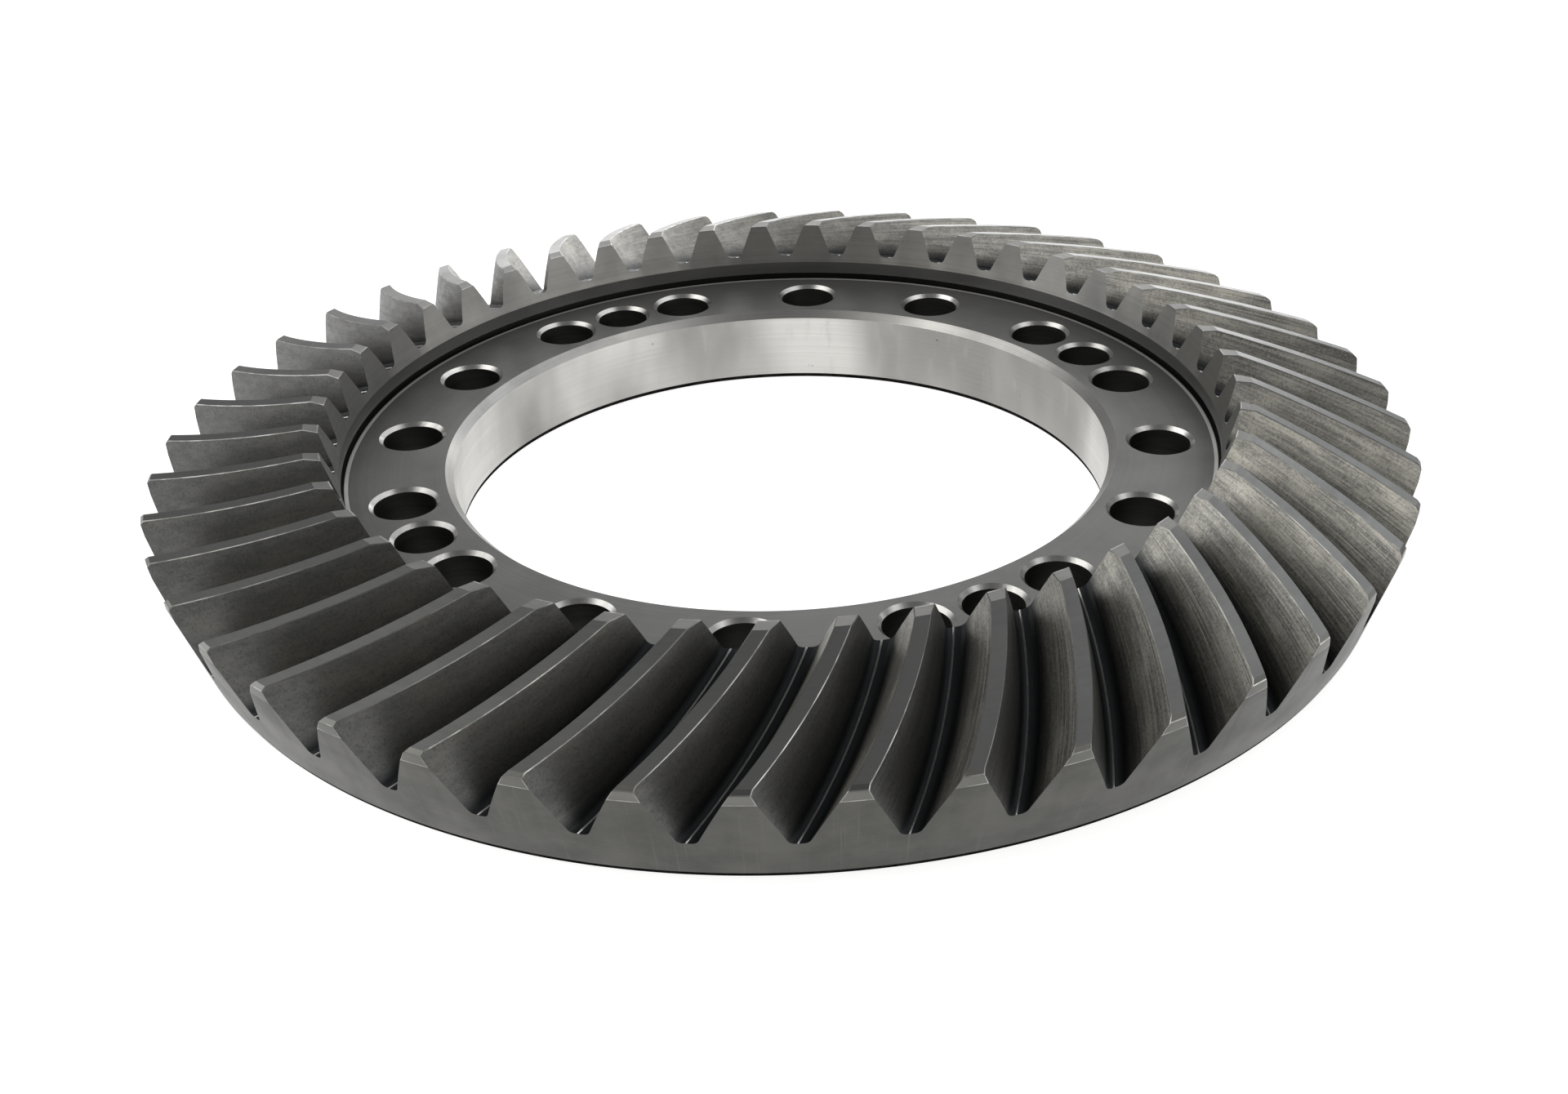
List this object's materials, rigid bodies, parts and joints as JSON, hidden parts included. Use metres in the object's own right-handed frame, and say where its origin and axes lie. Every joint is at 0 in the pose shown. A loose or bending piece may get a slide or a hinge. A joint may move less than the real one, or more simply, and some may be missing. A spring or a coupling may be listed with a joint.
{
  "type": "spiral bevel ring gear",
  "caption": "Steel spiral bevel ring gear for an axle: a wide bore, a flat flange with bolt and dowel holes, and curved teeth on the outer cone.",
  "frame": {"origin": "centre of the flat back face, on the gear's axis", "axes": "+Z along the gear's axis, from the back face towards the teeth; +X through a bolt hole"},
  "size_m": [0.3595, 0.3598, 0.0415],
  "materials": {
    "gear_steel": "machined and case hardened, dark grey on the teeth and bright in the bore"
  },
  "bodies": {
    "root": {"ring_gear": "gear_steel"}
  },
  "joints": []
}
